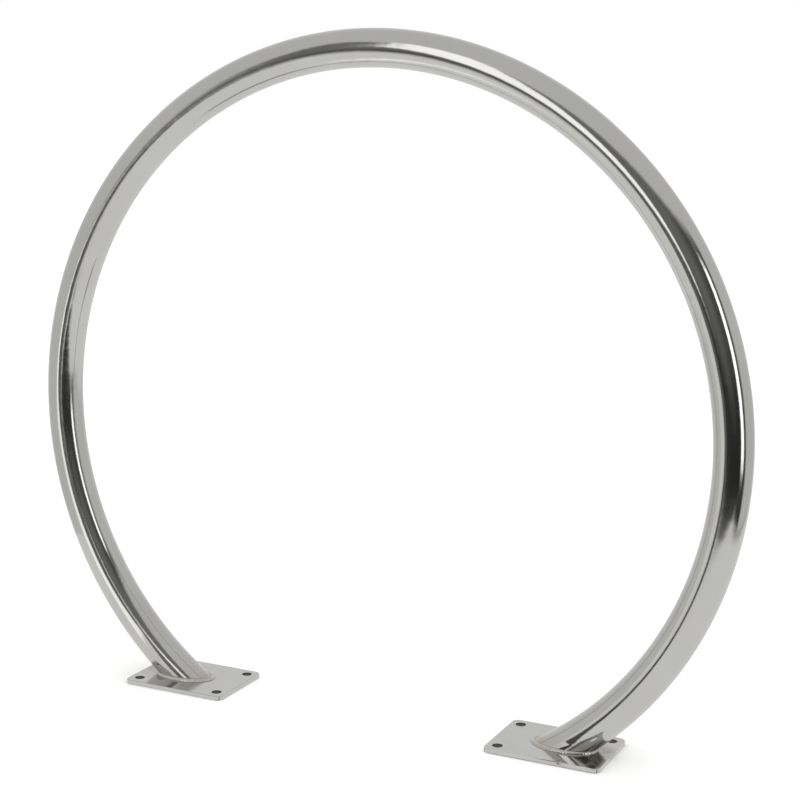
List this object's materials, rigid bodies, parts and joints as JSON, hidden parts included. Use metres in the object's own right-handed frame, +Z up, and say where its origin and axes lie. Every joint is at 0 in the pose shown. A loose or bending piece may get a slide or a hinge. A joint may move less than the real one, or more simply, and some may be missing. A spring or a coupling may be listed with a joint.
{
  "type": "pool handrail",
  "caption": "Free-standing pool handrail: round tube bent to an open hoop, its ends welded to rectangular base plates with bolt holes.",
  "frame": {"origin": "on the ground midway between the two base plates, at the height of their undersides", "axes": "+X from the left foot to the right foot, in the hoop's plane; +Y across the hoop, away from the viewer; +Z up"},
  "size_m": [0.8878, 0.1, 0.7895],
  "materials": {
    "polished_tube": "mirror-polished stainless steel",
    "polished_plate": "polished stainless steel sheet",
    "weld_metal": "brushed stainless weld"
  },
  "bodies": {
    "root": {"hoop_tube": "polished_tube", "left_base_plate": "polished_plate", "right_base_plate": "polished_plate", "left_weld_bead": "weld_metal", "right_weld_bead": "weld_metal"}
  },
  "joints": []
}
